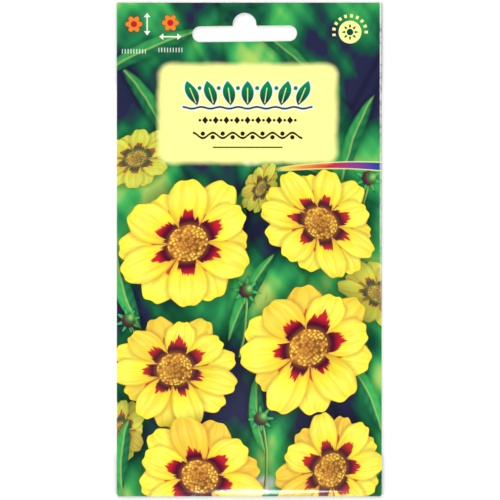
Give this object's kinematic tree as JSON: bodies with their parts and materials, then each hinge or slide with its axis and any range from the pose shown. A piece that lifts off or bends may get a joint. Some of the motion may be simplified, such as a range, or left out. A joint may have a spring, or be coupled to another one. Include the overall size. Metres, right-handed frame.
{
  "type": "seed packet",
  "caption": "Flat sealed paper seed packet with a hanging slot in its header, a lapped back seam, a folded foot and loose seeds in its pocket.",
  "frame": {"origin": "under the middle of the packet, on the surface that it lies on", "axes": "+Y from the folded foot to the header with the slot, +Z out of the printed front, +X to the right when the front is read upright"},
  "size_m": [0.08, 0.149, 0.0029],
  "materials": {
    "printed_paper": "printed paper with a clear gloss laminate outside and white paper inside",
    "dry_glue": "thin dried glue, satin",
    "seed_coat": "dark dry seed coat, matt"
  },
  "bodies": {
    "root": {"printed_sheet": "printed_paper", "back_seam_glue": "dry_glue", "back_seam_glue_foot": "dry_glue", "foot_flap_glue": "dry_glue", "header_glue": "dry_glue", "seed_01": "seed_coat", "seed_02": "seed_coat", "seed_03": "seed_coat", "seed_04": "seed_coat", "seed_05": "seed_coat", "seed_06": "seed_coat", "seed_07": "seed_coat", "seed_08": "seed_coat", "seed_09": "seed_coat", "seed_10": "seed_coat", "seed_11": "seed_coat", "seed_12": "seed_coat", "seed_13": "seed_coat", "seed_14": "seed_coat", "seed_15": "seed_coat", "seed_16": "seed_coat", "seed_17": "seed_coat", "seed_18": "seed_coat", "seed_19": "seed_coat", "seed_20": "seed_coat", "seed_21": "seed_coat", "seed_22": "seed_coat", "seed_23": "seed_coat", "seed_24": "seed_coat", "seed_25": "seed_coat", "seed_26": "seed_coat", "seed_27": "seed_coat", "seed_28": "seed_coat", "seed_29": "seed_coat", "seed_30": "seed_coat", "seed_31": "seed_coat", "seed_32": "seed_coat", "seed_33": "seed_coat", "seed_34": "seed_coat", "seed_35": "seed_coat", "seed_36": "seed_coat", "seed_37": "seed_coat", "seed_38": "seed_coat", "seed_39": "seed_coat", "seed_40": "seed_coat"}
  },
  "joints": []
}
